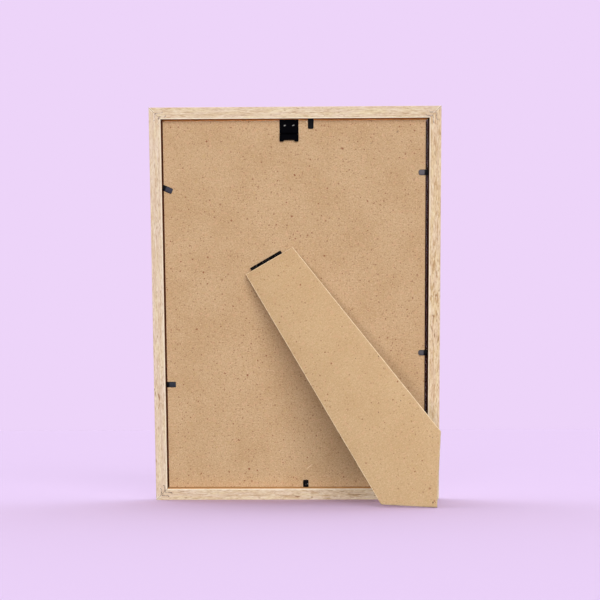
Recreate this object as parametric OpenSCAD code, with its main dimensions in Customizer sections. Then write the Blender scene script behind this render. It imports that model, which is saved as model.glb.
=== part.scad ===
// Wooden photo frame for one A4 sheet, standing in portrait on its back strut.
//
// Every piece is drawn face-on from behind: x to the right, y up from the
// bottom back edge of the moulding, z out of the back. z = 0 is the plane of
// the rails' back faces, so the front of the frame is at -frame_depth.
// stance() then stands the whole frame on the floor: the back faces +Y, the
// picture faces -Y, and the frame leans back until the strut's foot touches.

/* [Picture] */
// Width of the sheet that the frame holds
picture_w = 210; // [150:1:300]
// Height of the sheet that the frame holds
picture_h = 297; // [260:1:420]
// Extra width and height of the rebate over the sheet
rebate_extra = 3; // [2:0.5:6]

/* [Rails] */
// Width of a rail seen from behind, from outer edge to rebate wall
rail_back_w = 9.25; // [8.5:0.25:14]
// Width of a rail seen from the front
rail_face_w = 15; // [14:0.5:25]
// Depth of the moulding from front face to back face
frame_depth = 17; // [16.5:0.5:24]
// Rounding of the front outer and sight edges
front_round = 0.9; // [0.3:0.1:1.5]
// Rounding of the back and rebate edges
back_round = 0.35; // [0.1:0.05:0.5]
// Opening left at the outer end of the loose bottom left mitre
loose_mitre = 0.35; // [0:0.05:0.8]

/* [Sheets in the rebate] */
// Depth of the backing board below the rails' back faces
board_recess = 6; // [5.5:0.25:7]
// Thickness of the backing board
board_t = 3; // [2:0.5:3]
// Thickness of the print
print_t = 0.3; // [0.1:0.1:0.5]
// Thickness of the glazing
glazing_t = 2; // [1.5:0.5:3]
// Width of the backing board
board_w = 209.4; // [149:0.1:300]
// Height of the backing board
board_h = 298.4; // [259:0.1:420]
// Sideways place of the backing board in the rebate
board_x = -0.8; // [-1:0.1:1]

/* [Strut] */
// Angle between the open strut and the backing board
strut_open = 27.5; // [20:0.5:34]
// Angle to the board at which the folded strut meets the rails
strut_folded = 1.5; // [1.5:0.1:5]
// Thickness of the strut board
strut_t = 2.5; // [2:0.1:3]
// Slope of the hinge line, rising to the right
hinge_slope = 30; // [25:0.5:35]
// Sideways place of the hinge line under the middle of the strut's top edge
hinge_x = -21.8; // [-30:0.1:-15]
// Height of the hinge line there above the frame's bottom edge
hinge_y = 197.25; // [190:0.05:205]
// Half the width of the strut's top edge
strut_top_half = 22; // [20:0.5:25]
// Distance from the hinge line to the strut's top edge
strut_top_gap = 2.75; // [2:0.05:3.5]
// Left foot corner, measured along the hinge line
foot_left_x = -12.8; // [-18:0.1:-8]
// Left foot corner, measured down the strut from the hinge line
foot_left_y = 218.55; // [212:0.05:222]
// Foot tip, measured along the hinge line
foot_tip_x = 22.5; // [18:0.1:26]
// Foot tip, measured down the strut from the hinge line
foot_tip_y = 240.85; // [236:0.05:244]
// Right foot corner, measured along the hinge line
foot_right_x = 52.4; // [46:0.1:56]
// Right foot corner, measured down the strut from the hinge line
foot_right_y = 192.65; // [186:0.05:196]

/* [Strut hinge] */
// Outer radius of the hinge knuckles
knuckle_r = 1.5; // [1.3:0.05:1.6]
// Radius of the hinge pin
hinge_pin_r = 0.7; // [0.5:0.02:0.8]
// Radial play between the pin and the knuckles
hinge_play = 0.04; // [0.02:0.01:0.08]
// Length of the row of knuckles
hinge_len = 28.2; // [24:0.1:30]
// Sideways place of the knuckles along the hinge line
hinge_shift = -2.4; // [-4:0.1:2]
// Gap between neighbouring knuckles
knuckle_gap = 0.3; // [0.2:0.05:0.4]
// Thickness of the hinge leaves
leaf_t = 0.6; // [0.5:0.05:0.7]
// Length of the leaf on the backing board
board_leaf_len = 15; // [13:0.5:18]
// Length of the leaf on the strut
strut_leaf_len = 18; // [16:0.5:22]
// Head radius of the hinge rivets
hinge_rivet_r = 1.9; // [1.6:0.1:2.2]

/* [Wall hanger] */
// Width of the hanger plate
hanger_w = 15.1; // [12:0.1:16]
// Height of the hanger plate
hanger_h = 17.4; // [15:0.1:20]
// Sideways place of the hanger's middle
hanger_x = -4.8; // [-10:0.1:3]
// How far the hanger reaches past the board's top edge
hanger_over = 0.9; // [0:0.1:1.1]
// Thickness of the hanger sheet
hanger_t = 0.6; // [0.5:0.1:0.8]
// Space for the nail behind the hanger's lower flap
hanger_lift = 1.5; // [1:0.1:2]
// Distance between the two hanger rivets
hanger_rivet_gap = 6.8; // [5:0.1:8]
// Head radius of the hanger rivets
hanger_rivet_r = 1.2; // [0.9:0.1:1.5]

/* [Retaining tabs] */
// Width of a retaining tab
tab_w = 4.5; // [3.5:0.1:6]
// Thickness of a retaining tab
tab_t = 0.5; // [0.4:0.05:0.7]
// Gap between a closed tab and the backing board
tab_gap = 0.2; // [0.1:0.05:0.4]
// Length of a tab's shank driven into the wood
tab_shank = 6; // [4:0.5:7]
// How far a tab bends up to free the board
tab_travel = 85; // [60:5:85]

/* [Corner nails] */
// Thickness of a corner nail
nail_t = 0.5; // [0.4:0.05:0.7]
// Depth of a corner nail in the wood
nail_depth = 9; // [6:0.5:9]
// Length of each arm of a corner nail
nail_arm = 5; // [4:0.5:5.5]
// How far a corner nail's top lies below the back face
nail_sink = 0.12; // [0.05:0.01:0.3]
// Gap all round a corner nail
nail_gap = 0.09; // [0.05:0.01:0.15]

/* [Hidden] */

open_w = picture_w + rebate_extra;
open_h = picture_h + rebate_extra;
outer_w = open_w + 2 * rail_back_w;
outer_h = open_h + 2 * rail_back_w;
board_back = -board_recess;
board_front = board_back - board_t;
print_front = board_front - print_t;
lip_back = print_front - glazing_t;
eps = 0.01;

// ---- outlines ----

// a corner p1 between p0 and p2, turned into an arc of radius r
function unit(v) = v / norm(v);
function corner_arc(p0, p1, p2, r, k = 5) =
    r <= 0 ? [p1] :
    let (a = unit(p0 - p1), b = unit(p2 - p1),
         half = acos(max(-1, min(1, a * b))) / 2,
         c = p1 + unit(a + b) * r / sin(half),
         s = p1 + a * r / tan(half), e = p1 + b * r / tan(half),
         a0 = atan2(s[1] - c[1], s[0] - c[0]),
         a1 = atan2(e[1] - c[1], e[0] - c[0]),
         d = ((a1 - a0 + 540) % 360) - 180)
    [for (i = [0:k]) c + r * [cos(a0 + d * i / k), sin(a0 + d * i / k)]];
function rounded(pts, rs, k = 5) = let (n = len(pts))
    [for (i = [0:n - 1]) each corner_arc(pts[(i + n - 1) % n], pts[i],
        pts[(i + 1) % n], rs[i], k)];

// a bent strip of thickness th along an open line of points
function side(p, q) = let (d = unit(q - p)) [-d[1], d[0]];
function strip_offset(pts, i, h) = let (n = len(pts),
    a = i == 0 ? side(pts[0], pts[1]) : side(pts[i - 1], pts[i]),
    b = i == n - 1 ? a : side(pts[i], pts[i + 1]),
    m = unit(a + b)) pts[i] + m * h / (m * b);
function strip(pts, th) = let (n = len(pts)) concat(
    [for (i = [0:n - 1]) strip_offset(pts, i, th / 2)],
    [for (i = [n - 1:-1:0]) strip_offset(pts, i, -th / 2)]);

// moulding section: x inward from the outer edge, y along the depth
rail_section = rounded(
    [[0, 0], [0, -frame_depth], [rail_face_w, -frame_depth],
     [rail_face_w, lip_back], [rail_back_w, lip_back], [rail_back_w, 0]],
    [back_round, front_round, front_round, 0, 0, back_round]);

// strut outline: x along the hinge line, y up the strut
strut_outline = rounded(
    [[-strut_top_half, -strut_top_gap], [foot_left_x, -foot_left_y],
     [foot_tip_x, -foot_tip_y], [foot_right_x, -foot_right_y],
     [strut_top_half, -strut_top_gap]],
    [0.4, 1.2, 0.5, 1.6, 0.4], 4);

// ---- strut and stance ----

axis_z = board_back + knuckle_r;
strut_in = knuckle_r;
strut_out = knuckle_r + strut_t;

// a point of the strut (x, y, height over the hinge line) in frame coordinates
function on_strut(p, h) = let (
    y1 = p[1] * cos(strut_open) + h * sin(strut_open),
    z1 = -p[1] * sin(strut_open) + h * cos(strut_open))
    [hinge_x + p[0] * cos(hinge_slope) - y1 * sin(hinge_slope),
     hinge_y + p[0] * sin(hinge_slope) + y1 * cos(hinge_slope),
     axis_z + z1];
strut_points = [for (h = [strut_in, strut_out], p = strut_outline) on_strut(p, h)];

// height over the floor of the strut and of the moulding at a given lean
function strut_low(a) = min([for (p = strut_points) p[1] * cos(a) - p[2] * sin(a)]);
function rail_low(a) = min([for (q = rail_section) q[0] * cos(a) - q[1] * sin(a)]);
function solve_lean(lo, hi, n) = n == 0 ? (lo + hi) / 2 :
    let (m = (lo + hi) / 2)
    strut_low(m) > rail_low(m) ? solve_lean(m, hi, n - 1) : solve_lean(lo, m, n - 1);
lean = solve_lean(2, 40, 40);
floor_lift = -rail_low(lean);
y_front = min([for (q = rail_section) q[1] * cos(lean) + q[0] * sin(lean)]);
y_back = max([for (p = strut_points) p[2] * cos(lean) + p[1] * sin(lean)]);
y_mid = (y_front + y_back) / 2;

module stance() {
    translate([0, -y_mid, floor_lift]) rotate([-lean, 0, 0]) rotate([90, 0, 180]) children();
}

module on_hinge_line(angle) {
    translate([hinge_x, hinge_y, axis_z]) rotate([0, 0, hinge_slope])
        rotate([-angle, 0, 0]) children();
}

// ---- rails ----

module mitre_plan(len, gap_start) {
    // outer edge on x = 0..len at y = 0, inner edge at y = rail_face_w
    polygon([[gap_start, 0], [len, 0], [len - rail_face_w, rail_face_w],
             [rail_face_w, rail_face_w]]);
}

module rail(len, gap_start = 0) {
    intersection() {
        translate([-1, 0, 0]) rotate([90, 0, 90]) linear_extrude(len + 2)
            polygon(rail_section);
        translate([0, 0, -frame_depth - 1]) linear_extrude(frame_depth + 2)
            mitre_plan(len, gap_start);
    }
}

// corner nails: distance of each apex from the side edge and from the end edge
nail_sets = [
    [-1, 1, [[4.85, 4.5], [7.6, 7.4]]],
    [1, 1, [[3.7, 4.9], [6.45, 7.6]]],
    [1, -1, [[4.2, 4.3], [7.0, 7.1]]],
    [-1, -1, [[4.5, 3.7], [7.2, 6.35]]]];

function nail_line(p, q) = [
    [p - 1.1, q + nail_arm + 1.15], [p, q + nail_arm], [p, q + 1.1],
    [p + 0.32, q + 0.32], [p + 1.1, q], [p + nail_arm, q],
    [p + nail_arm + 1.15, q - 1.1]];

module nail_shapes(th, z0, z1) {
    for (set = nail_sets, pq = set[2]) {
        sx = set[0]; sy = set[1];
        line = [for (a = nail_line(pq[0], pq[1]))
            [sx * (outer_w / 2 - a[0]), sy > 0 ? outer_h - a[1] : a[1]]];
        translate([0, 0, z0]) linear_extrude(z1 - z0) polygon(strip(line, th));
    }
}

module corner_nails() {
    color("lightslategray") nail_shapes(nail_t, -nail_depth, -nail_sink);
}

module nail_slots() {
    nail_shapes(nail_t + 2 * nail_gap, -nail_depth - nail_gap, 1);
}

module rail_top() {
    color("burlywood") difference() {
        translate([outer_w / 2, outer_h, 0]) rotate([0, 0, 180]) rail(outer_w);
        nail_slots();
        tab_slots();
    }
}

module rail_bottom() {
    color("burlywood") difference() {
        translate([-outer_w / 2, 0, 0]) rail(outer_w, loose_mitre);
        nail_slots();
        tab_slots();
    }
}

module rail_left() {
    color("burlywood") difference() {
        translate([-outer_w / 2, outer_h, 0]) rotate([0, 0, -90]) rail(outer_h);
        nail_slots();
        tab_slots();
    }
}

module rail_right() {
    color("burlywood") difference() {
        translate([outer_w / 2, 0, 0]) rotate([0, 0, 90]) rail(outer_h);
        nail_slots();
        tab_slots();
    }
}

// ---- sheets in the rebate ----

module sheet(w, h, x, y, z0, z1) {
    translate([x - w / 2, y, z0]) cube([w, h, z1 - z0]);
}

module glazing() {
    color("lightcyan", 0.4) sheet(open_w - 0.8, open_h - 1, 0, rail_back_w, lip_back, print_front);
}

module print_sheet() {
    color("linen") sheet(picture_w, picture_h, 0, rail_back_w, print_front, board_front);
}

module backing_board() {
    color("tan") difference() {
        sheet(board_w, board_h, board_x, rail_back_w, board_front, board_back);
        rivet_places_board() translate([0, 0, -2.6]) cylinder(h = 4, r = 1.2 + 0.03, $fn = 32);
        hanger_rivet_places() translate([0, 0, -2.4]) cylinder(h = 4, r = 0.8 + 0.03, $fn = 32);
    }
}

// ---- wall hanger ----

hanger_top = rail_back_w + board_h + hanger_over;
hanger_low = hanger_top - hanger_h;
flap_top = hanger_low + 5.6;
flap_back = board_back + hanger_lift;

module hanger_rivet_places() {
    for (s = [-1, 1])
        translate([hanger_x + 0.3 + s * hanger_rivet_gap / 2, hanger_top - 4.65, board_back])
            children();
}

module hanger_plate() {
    color("#17171a") difference() {
        union() {
            // flat upper plate
            translate([0, 0, board_back]) linear_extrude(hanger_t) polygon(rounded(
                [[hanger_x - hanger_w / 2, flap_top + 1.2], [hanger_x + hanger_w / 2, flap_top + 1.2],
                 [hanger_x + hanger_w / 2, hanger_top], [hanger_x - hanger_w / 2, hanger_top]],
                [0, 0, 0.6, 0.6]));
            // sloping step up to the flap
            translate([hanger_x - hanger_w / 2, 0, 0]) rotate([90, 0, 90]) linear_extrude(hanger_w)
                polygon([[flap_top + 1.2, board_back], [flap_top + 1.5, board_back],
                         [flap_top + 1.5, board_back + hanger_t], [flap_top, flap_back + hanger_t],
                         [flap_top - 0.3, flap_back + hanger_t], [flap_top - 0.3, flap_back]]);
            // flap with two feet and a shallow arch for the nail
            translate([0, 0, flap_back]) linear_extrude(hanger_t) polygon(rounded(
                [[hanger_x - hanger_w / 2, flap_top], [hanger_x - hanger_w / 2, hanger_low],
                 [hanger_x - hanger_w / 2 + 2.9, hanger_low], [hanger_x - hanger_w / 2 + 3.7, hanger_low + 1.2],
                 [hanger_x + hanger_w / 2 - 3.7, hanger_low + 1.2], [hanger_x + hanger_w / 2 - 2.9, hanger_low],
                 [hanger_x + hanger_w / 2, hanger_low], [hanger_x + hanger_w / 2, flap_top]],
                [0, 0.8, 0.4, 0.5, 0.5, 0.4, 0.8, 0]));
        }
        hanger_rivet_places() translate([0, 0, -1]) cylinder(h = 3, r = 0.8 + 0.03, $fn = 32);
    }
}

module domed_rivet(head_r, head_h, shank_r, top, depth) {
    // head on z = top, shank down to -depth
    rotate_extrude($fn = 40) polygon(concat(
        [[0, -depth], [shank_r, -depth], [shank_r, top], [head_r, top]],
        [for (i = [1:6]) [head_r * cos(15 * i), top + head_h * sin(15 * i)]]));
}

module hanger_rivets() {
    color("#2b2b30") hanger_rivet_places()
        domed_rivet(hanger_rivet_r, 0.5, 0.8, hanger_t, 2.2);
}

// ---- retaining tabs ----

// wall point, direction into the opening, length from the wall, tip radius
tab_places = [
    ["tab_top", [12.5, outer_h - rail_back_w], -90, 8.1, 1.0],
    ["tab_bottom", [7.0, rail_back_w], 90, 5.9, 0.8],
    ["tab_left_upper", [-open_w / 2, 255.4], -23.5, 8.4, 0.7],
    ["tab_left_lower", [-open_w / 2, 95.1], 0, 7.95, 0.4],
    ["tab_right_upper", [open_w / 2, 266.2], 180, 8.15, 1.7],
    ["tab_right_lower", [open_w / 2, 120.6], 180, 7.75, 1.7]];
tab_mid = board_back + tab_gap + tab_t / 2;

// angle between a tab and the square to its wall
function tab_skew(i) = let (d = tab_places[i][2]) abs(d - 90 * round(d / 90));
// distance from the wall point to the bend line
function tab_bend(i) = 0.6 + tab_w / 2 * sin(tab_skew(i));

module tab_place(i) {
    t = tab_places[i];
    translate([t[1][0], t[1][1], tab_mid]) rotate([0, 0, t[2]]) children();
}

module tab(i) {
    b = tab_bend(i);
    l = tab_places[i][3];
    r = tab_places[i][4];
    color("#202024") tab_place(i) union() {
        translate([b, tab_w / 2, 0]) rotate([90, 0, 0]) cylinder(h = tab_w, r = tab_t / 2, $fn = 24);
        translate([0, 0, -tab_t / 2]) linear_extrude(tab_t) polygon(rounded(
            [[b, -tab_w / 2], [l, -tab_w / 2], [l, tab_w / 2], [b, tab_w / 2]], [0, r, r, 0]));
    }
}

module tab_shanks() {
    color("#202024") for (i = [0:len(tab_places) - 1]) tab_place(i)
        translate([-tab_shank, -tab_w / 2, -tab_t / 2])
            cube([tab_shank + tab_bend(i) - tab_t / 2 - 0.1, tab_w, tab_t]);
}

module tab_slots() {
    for (i = [0:len(tab_places) - 1]) tab_place(i)
        translate([-tab_shank - 0.1, -tab_w / 2 - 0.08, -tab_t / 2 - 0.06])
            cube([tab_shank + 2.5, tab_w + 0.16, tab_t + 0.12]);
}

module tab_top() tab(0);
module tab_bottom() tab(1);
module tab_left_upper() tab(2);
module tab_left_lower() tab(3);
module tab_right_upper() tab(4);
module tab_right_lower() tab(5);

// ---- strut hinge ----

knuckle_len = (hinge_len - 4 * knuckle_gap) / 5;
function knuckle_x(i) = hinge_shift - hinge_len / 2 + i * (knuckle_len + knuckle_gap);

module knuckles(list, bore_r) {
    for (i = list) translate([knuckle_x(i), 0, 0]) rotate([0, 90, 0]) difference() {
        cylinder(h = knuckle_len, r = knuckle_r, $fn = 40);
        translate([0, 0, -1]) cylinder(h = knuckle_len + 2, r = bore_r, $fn = 40);
    }
}

module leaf_outline(len) {
    x0 = hinge_shift - hinge_len / 2; x1 = hinge_shift + hinge_len / 2;
    polygon(rounded([[x0, 0], [x0, -len], [x1, -len], [x1, 0]], [0, 2, 2, 0]));
}

// clears the other leaf's knuckles out of a leaf
module leaf_cuts(list) {
    for (i = list) translate([knuckle_x(i) - knuckle_gap, -knuckle_r - 0.4, -5])
        cube([knuckle_len + 2 * knuckle_gap, 5, 10]);
}

module pin_bore(r) {
    translate([hinge_shift - hinge_len / 2 - 1, 0, 0]) rotate([0, 90, 0])
        cylinder(h = hinge_len + 2, r = r, $fn = 40);
}

module rivet_places_board() {
    for (s = [-1, 1]) on_hinge_line(0)
        translate([hinge_shift + s * 5, -9, -knuckle_r]) children();
}

module rivet_places_strut() {
    for (s = [-1, 1]) on_hinge_line(strut_open)
        translate([hinge_shift + s * 9, -13, knuckle_r]) rotate([180, 0, 0]) children();
}

module hinge_leaf_board() {
    color("#17171a") difference() {
        on_hinge_line(0) union() {
            difference() {
                translate([0, 0, -knuckle_r]) linear_extrude(leaf_t) leaf_outline(board_leaf_len);
                leaf_cuts([1, 3]);
                pin_bore(hinge_pin_r + hinge_play);
            }
            knuckles([0, 2, 4], hinge_pin_r + hinge_play);
        }
        rivet_places_board() translate([0, 0, -1]) cylinder(h = 3, r = 1.2 + 0.03, $fn = 32);
    }
}

module hinge_rivets_board() {
    color("#2b2b30") rivet_places_board() domed_rivet(hinge_rivet_r, 0.6, 1.2, leaf_t, 2.4);
}

module hinge_pin() {
    color("dimgray") on_hinge_line(0)
        translate([hinge_shift - hinge_len / 2 - 0.1, 0, 0]) rotate([0, 90, 0])
            cylinder(h = hinge_len + 0.2, r = hinge_pin_r, $fn = 40);
}

module hinge_leaf_strut() {
    color("#17171a") difference() {
        on_hinge_line(strut_open) union() {
            difference() {
                translate([0, 0, knuckle_r - leaf_t]) linear_extrude(leaf_t) leaf_outline(strut_leaf_len);
                leaf_cuts([0, 2, 4]);
                pin_bore(hinge_pin_r + hinge_play);
            }
            knuckles([1, 3], hinge_pin_r + hinge_play);
        }
        rivet_places_strut() translate([0, 0, -1]) cylinder(h = 3, r = 1.2 + 0.03, $fn = 32);
    }
}

module hinge_rivets_strut() {
    color("#2b2b30") rivet_places_strut() domed_rivet(hinge_rivet_r, 0.6, 1.2, leaf_t, 1.7);
}

module strut() {
    color("tan") difference() {
        on_hinge_line(strut_open) translate([0, 0, strut_in]) linear_extrude(strut_t)
            polygon(strut_outline);
        rivet_places_strut() translate([0, 0, -1.9]) cylinder(h = 4, r = 1.2 + 0.03, $fn = 32);
    }
}

stance() rail_top();
stance() rail_bottom();
stance() rail_left();
stance() rail_right();
stance() corner_nails();
stance() glazing();
stance() print_sheet();
stance() backing_board();
stance() hanger_plate();
stance() hanger_rivets();
stance() tab_shanks();
stance() tab_top();
stance() tab_bottom();
stance() tab_left_upper();
stance() tab_left_lower();
stance() tab_right_upper();
stance() tab_right_lower();
stance() hinge_leaf_board();
stance() hinge_rivets_board();
stance() hinge_pin();
stance() hinge_leaf_strut();
stance() hinge_rivets_strut();
stance() strut();
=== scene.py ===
import math

import bmesh
import bpy
import numpy as np
from mathutils import Euler, Matrix, Vector


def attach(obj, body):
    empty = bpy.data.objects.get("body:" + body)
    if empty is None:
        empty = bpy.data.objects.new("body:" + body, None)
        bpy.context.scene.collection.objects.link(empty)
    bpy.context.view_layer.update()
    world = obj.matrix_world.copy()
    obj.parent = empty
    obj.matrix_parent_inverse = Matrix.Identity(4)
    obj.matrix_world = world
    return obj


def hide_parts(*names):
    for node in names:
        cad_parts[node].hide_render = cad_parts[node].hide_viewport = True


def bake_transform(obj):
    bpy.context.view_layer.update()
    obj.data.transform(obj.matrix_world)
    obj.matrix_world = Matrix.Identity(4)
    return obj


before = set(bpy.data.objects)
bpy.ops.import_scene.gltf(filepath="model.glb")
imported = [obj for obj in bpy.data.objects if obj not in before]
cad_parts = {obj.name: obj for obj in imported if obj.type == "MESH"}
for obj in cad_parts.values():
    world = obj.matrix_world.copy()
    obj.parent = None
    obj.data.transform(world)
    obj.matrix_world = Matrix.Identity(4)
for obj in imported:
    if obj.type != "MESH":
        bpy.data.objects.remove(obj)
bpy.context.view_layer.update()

# ---------------------------------------------------------------- the frame's own axes
# u to the right seen from behind, h up the frame from its bottom back edge, w out of
# its back, all in mm. The CAD stands it on the floor leaning back by LEAN.
LEAN = math.radians(12.542)
Y_MID = 48.2984
LIFT = -0.0692391
CL, SL = math.cos(LEAN), math.sin(LEAN)
STANCE = Matrix(((-1, 0, 0, 0), (0, SL, CL, -Y_MID / 1000), (0, CL, -SL, LIFT / 1000), (0, 0, 0, 1)))

OUT_W, OUT_H = 231.5, 318.5
BACK_W, FACE_W, DEPTH = 9.25, 15.0, 17.0
OPEN_W, OPEN_H = 213.0, 300.0


def at(u, h, w):
    """A place on the frame, in the shared frame, in metres."""
    return STANCE @ Vector((u / 1000, h / 1000, w / 1000))


def toward(u, h, w):
    return (STANCE.to_3x3() @ Vector((u, h, w))).normalized()


def lin(r, g, b, k=1.0):
    """0-255 display colour to linear RGBA."""
    f = lambda c: (c / 255 / 12.92) if c / 255 <= 0.04045 else ((c / 255 + 0.055) / 1.055) ** 2.4
    return (f(r) * k, f(g) * k, f(b) * k, 1.0)


# ---------------------------------------------------------------- node helper
class Nodes:
    def __init__(self, name):
        self.mat = bpy.data.materials.new(name)
        self.mat.use_nodes = True
        self.t = self.mat.node_tree
        self.t.nodes.clear()
        self.out = self.t.nodes.new("ShaderNodeOutputMaterial")
        self.bsdf = self.t.nodes.new("ShaderNodeBsdfPrincipled")
        self.t.links.new(self.bsdf.outputs[0], self.out.inputs["Surface"])

    def new(self, kind, **props):
        n = self.t.nodes.new(kind)
        for k, v in props.items():
            setattr(n, k, v)
        return n

    def put(self, socket, value):
        if isinstance(value, bpy.types.NodeSocket):
            self.t.links.new(value, socket)
        elif value is not None:
            socket.default_value = value

    def set(self, **values):
        for k, v in values.items():
            self.put(self.bsdf.inputs[k.replace("_", " ")], v)

    def object(self):
        return self.new("ShaderNodeTexCoord").outputs["Object"]

    def mapped(self, vec, loc=(0, 0, 0), rot=(0, 0, 0), scale=(1, 1, 1)):
        n = self.new("ShaderNodeMapping")
        self.put(n.inputs["Vector"], vec)
        n.inputs["Location"].default_value = loc
        n.inputs["Rotation"].default_value = rot
        n.inputs["Scale"].default_value = scale
        return n.outputs[0]

    def frame_mm(self):
        """(-u, w, h) in mm, for a mesh whose object sits at the shared origin."""
        return self.mapped(self.object(), (0, Y_MID * CL + LIFT * SL, Y_MID * SL - LIFT * CL),
                           (LEAN, 0, 0), (1000, 1000, 1000))

    def local_mm(self, place=None):
        """mm in the axes of place, a matrix in the shared frame."""
        if place is None:
            return self.mapped(self.object(), scale=(1000, 1000, 1000))
        back = place.to_3x3().transposed()
        return self.mapped(self.object(), -(back @ place.translation) * 1000,
                           back.to_euler("XYZ"), (1000, 1000, 1000))

    def stroke(self, x, y, wobble, cx, cy, length, width, slope=0.0):
        """1 inside a soft ragged lens at (cx, cy), length along y turned by slope degrees."""
        a = math.radians(slope)
        dx, dy = self.sub(x, cx), self.sub(y, cy)
        p = self.add(self.mul(dx, math.cos(a)), self.mul(dy, -math.sin(a)))
        q = self.add(self.mul(dx, math.sin(a)), self.mul(dy, math.cos(a)))
        p, q = self.mul(p, 2 / width), self.mul(q, 2 / length)
        r = self.math("SQRT", self.add(self.mul(p, p), self.mul(q, q)))
        r = self.add(r, self.mul(self.sub(wobble, 0.5), 1.1))
        return self.span(r, 1.15, 0.45)

    def split(self, vec):
        n = self.new("ShaderNodeSeparateXYZ")
        self.put(n.inputs[0], vec)
        return n.outputs[0], n.outputs[1], n.outputs[2]

    def join(self, x, y, z=0.0):
        n = self.new("ShaderNodeCombineXYZ")
        self.put(n.inputs[0], x), self.put(n.inputs[1], y), self.put(n.inputs[2], z)
        return n.outputs[0]

    def math(self, op, a, b=None, c=None, clamp=False):
        n = self.new("ShaderNodeMath", operation=op, use_clamp=clamp)
        for s, v in zip(n.inputs, (a, b, c)):
            self.put(s, v)
        return n.outputs[0]

    def add(self, a, b): return self.math("ADD", a, b)
    def sub(self, a, b): return self.math("SUBTRACT", a, b)
    def mul(self, a, b): return self.math("MULTIPLY", a, b)
    def abs(self, a): return self.math("ABSOLUTE", a)

    def shift(self, vec, other, k):
        """vec + (other - 0.5) * k, for warping a pattern."""
        n = self.new("ShaderNodeVectorMath", operation="MULTIPLY_ADD")
        m = self.new("ShaderNodeVectorMath", operation="SUBTRACT")
        self.put(m.inputs[0], other)
        m.inputs[1].default_value = (0.5, 0.5, 0.5)
        self.put(n.inputs[0], m.outputs[0])
        n.inputs[1].default_value = (k, k, k)
        self.put(n.inputs[2], vec)
        return n.outputs[0]

    def noise(self, vec, scale, detail=2.0, rough=0.5, distortion=0.0, colour=False):
        n = self.new("ShaderNodeTexNoise")
        self.put(n.inputs["Vector"], vec)
        n.inputs["Scale"].default_value = scale
        n.inputs["Detail"].default_value = detail
        n.inputs["Roughness"].default_value = rough
        n.inputs["Distortion"].default_value = distortion
        return n.outputs["Color"] if colour else n.outputs[0]

    def cells(self, vec, scale, dims="2D", randomness=1.0):
        n = self.new("ShaderNodeTexVoronoi", voronoi_dimensions=dims, feature="F1")
        self.put(n.inputs["Vector"], vec)
        n.inputs["Scale"].default_value = scale
        n.inputs["Randomness"].default_value = randomness
        return n.outputs["Distance"], n.outputs["Color"]

    def span(self, v, a, b, c=0.0, d=1.0, smooth=True):
        n = self.new("ShaderNodeMapRange", interpolation_type="SMOOTHSTEP" if smooth else "LINEAR")
        self.put(n.inputs[0], v)
        for i, x in enumerate((a, b, c, d)):
            self.put(n.inputs[i + 1], x)
        return n.outputs[0]

    def ramp(self, fac, stops, interp="LINEAR"):
        n = self.new("ShaderNodeValToRGB")
        self.put(n.inputs[0], fac)
        e = n.color_ramp.elements
        n.color_ramp.interpolation = interp
        while len(e) > 1:
            e.remove(e[-1])
        e[0].position, e[0].color = stops[0]
        for p, c in stops[1:]:
            e.new(p).color = c
        return n.outputs[0]

    def mix(self, fac, a, b, mode="MIX"):
        n = self.new("ShaderNodeMix", data_type="RGBA", blend_type=mode)
        self.put(n.inputs[0], fac)
        self.put(n.inputs[6], a)
        self.put(n.inputs[7], b)
        return n.outputs[2]

    def bump(self, height, strength, distance, normal=None):
        n = self.new("ShaderNodeBump")
        n.inputs["Strength"].default_value = strength
        n.inputs["Distance"].default_value = distance
        self.put(n.inputs["Height"], height)
        self.put(n.inputs["Normal"], normal)
        return n.outputs[0]


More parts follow.
